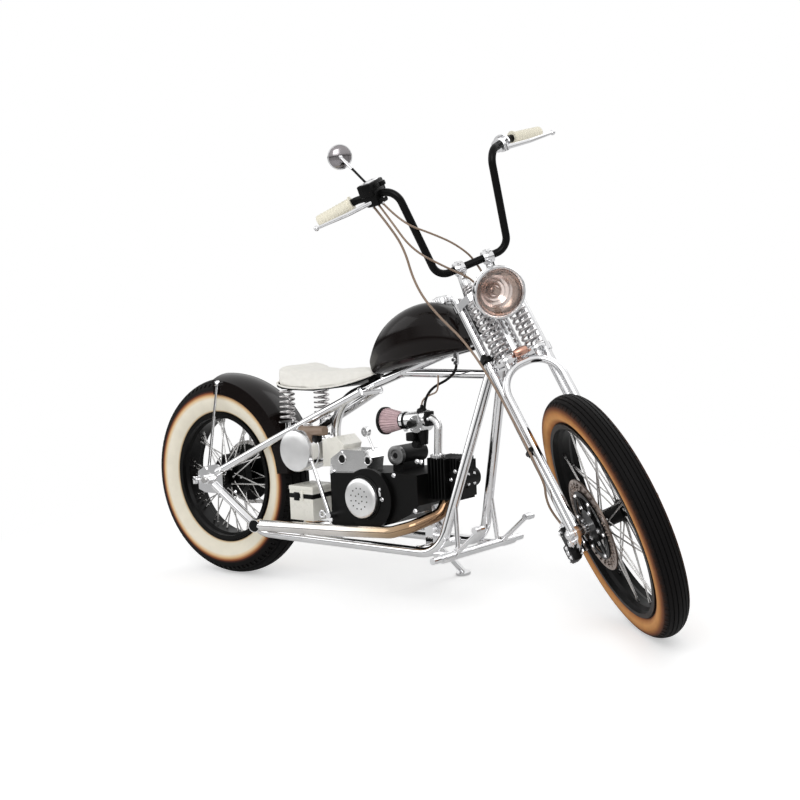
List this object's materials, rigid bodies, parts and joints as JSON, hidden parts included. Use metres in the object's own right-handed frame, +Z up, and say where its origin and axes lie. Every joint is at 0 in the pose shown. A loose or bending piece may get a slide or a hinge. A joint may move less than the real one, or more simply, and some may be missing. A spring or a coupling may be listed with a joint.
{
  "type": "bobber motorcycle",
  "caption": "Small bobber motorcycle with a rigid rear frame, spring fork, wire wheels, teardrop tank and solo seat, parked on its side stand.",
  "frame": {"origin": "centre of the footprint on the floor", "axes": "+X towards the front of the motorcycle, +Y to its left side, +Z up; it is parked, leaning to its left on the side stand with the front wheel turned right"},
  "size_m": [2.165, 0.6534, 1.3818],
  "materials": {
    "chrome": "polished",
    "black_casting": "satin",
    "polished_alloy": "polished",
    "filter_gauze": "satin",
    "dark_brown_lacquer": "gloss",
    "black_powder_coat": "satin",
    "cream_leather": "satin",
    "cream_paint": "gloss",
    "steel": "satin",
    "tyre_rubber": "matte",
    "cream_rubber": "satin",
    "mirror_glass": "polished",
    "lamp_glass": "gloss",
    "black_rubber": "matte"
  },
  "bodies": {
    "frame": {"frame_backbone": "chrome", "frame_right_cradle": "chrome", "frame_left_cradle": "chrome", "frame_upper_stays": "chrome", "frame_cross_tubes": "chrome", "engine_crankcase": "black_casting", "gearbox_casting": "polished_alloy", "engine_cylinder": "black_casting", "engine_head": "black_casting", "clutch_cover": "polished_alloy", "carburettor": "polished_alloy", "air_filter": "filter_gauze", "exhaust_pipe": "chrome", "fuel_tank": "dark_brown_lacquer", "fuel_cap": "chrome", "fuel_tap": "chrome", "seat_pan": "black_powder_coat", "seat_cushion": "cream_leather", "seat_springs": "chrome", "rear_fender": "dark_brown_lacquer", "fender_struts": "chrome", "oil_canister": "chrome", "electrics_boxes": "black_powder_coat", "side_box": "cream_paint", "foot_controls": "chrome", "rear_axle": "steel", "drive_chain": "steel", "fuel_hose": "black_rubber"},
    "fork": {"fork_trees": "chrome", "fork_rear_legs": "chrome", "fork_front_legs": "chrome", "fork_springs": "chrome", "fork_rockers": "chrome", "handlebar": "black_powder_coat", "grips": "cream_rubber", "hand_controls": "chrome", "mirror": "mirror_glass", "headlight_shell": "chrome", "headlight_lens": "lamp_glass", "brake_caliper": "black_casting", "brake_hose": "black_rubber", "control_cables": "black_rubber"},
    "front_wheel": {"front_tyre": "tyre_rubber", "front_rim": "black_powder_coat", "front_hub_and_spokes": "chrome", "front_brake_disc": "steel"},
    "rear_wheel": {"rear_tyre": "tyre_rubber", "rear_rim": "black_powder_coat", "rear_hub_and_spokes": "chrome", "rear_sprocket": "steel"},
    "side_stand": {"side_stand": "chrome"}
  },
  "joints": [
    {"name": "steering", "type": "hinge", "parent": "frame", "child": "fork", "pos_m": [0.42139, 0.04179, 0.77146], "axis": [-0.5053, 0.0902, 0.8582], "range_deg": [0, 84.48]},
    {"name": "front_wheel_spin", "type": "hinge", "parent": "fork", "child": "front_wheel", "pos_m": [0.79154, -0.08967, 0.33658], "axis": [0.5801, 0.7718, 0.2604], "continuous": true},
    {"name": "rear_wheel_spin", "type": "hinge", "parent": "frame", "child": "rear_wheel", "pos_m": [-0.75105, -0.0046, 0.33011], "axis": [0, 0.9945, -0.1045], "continuous": true},
    {"name": "side_stand_swing", "type": "hinge", "parent": "frame", "child": "side_stand", "pos_m": [-0.04723, 0.10891, 0.18132], "axis": [0.1275, 0.7331, 0.6681], "range_deg": [0, 104]}
  ]
}
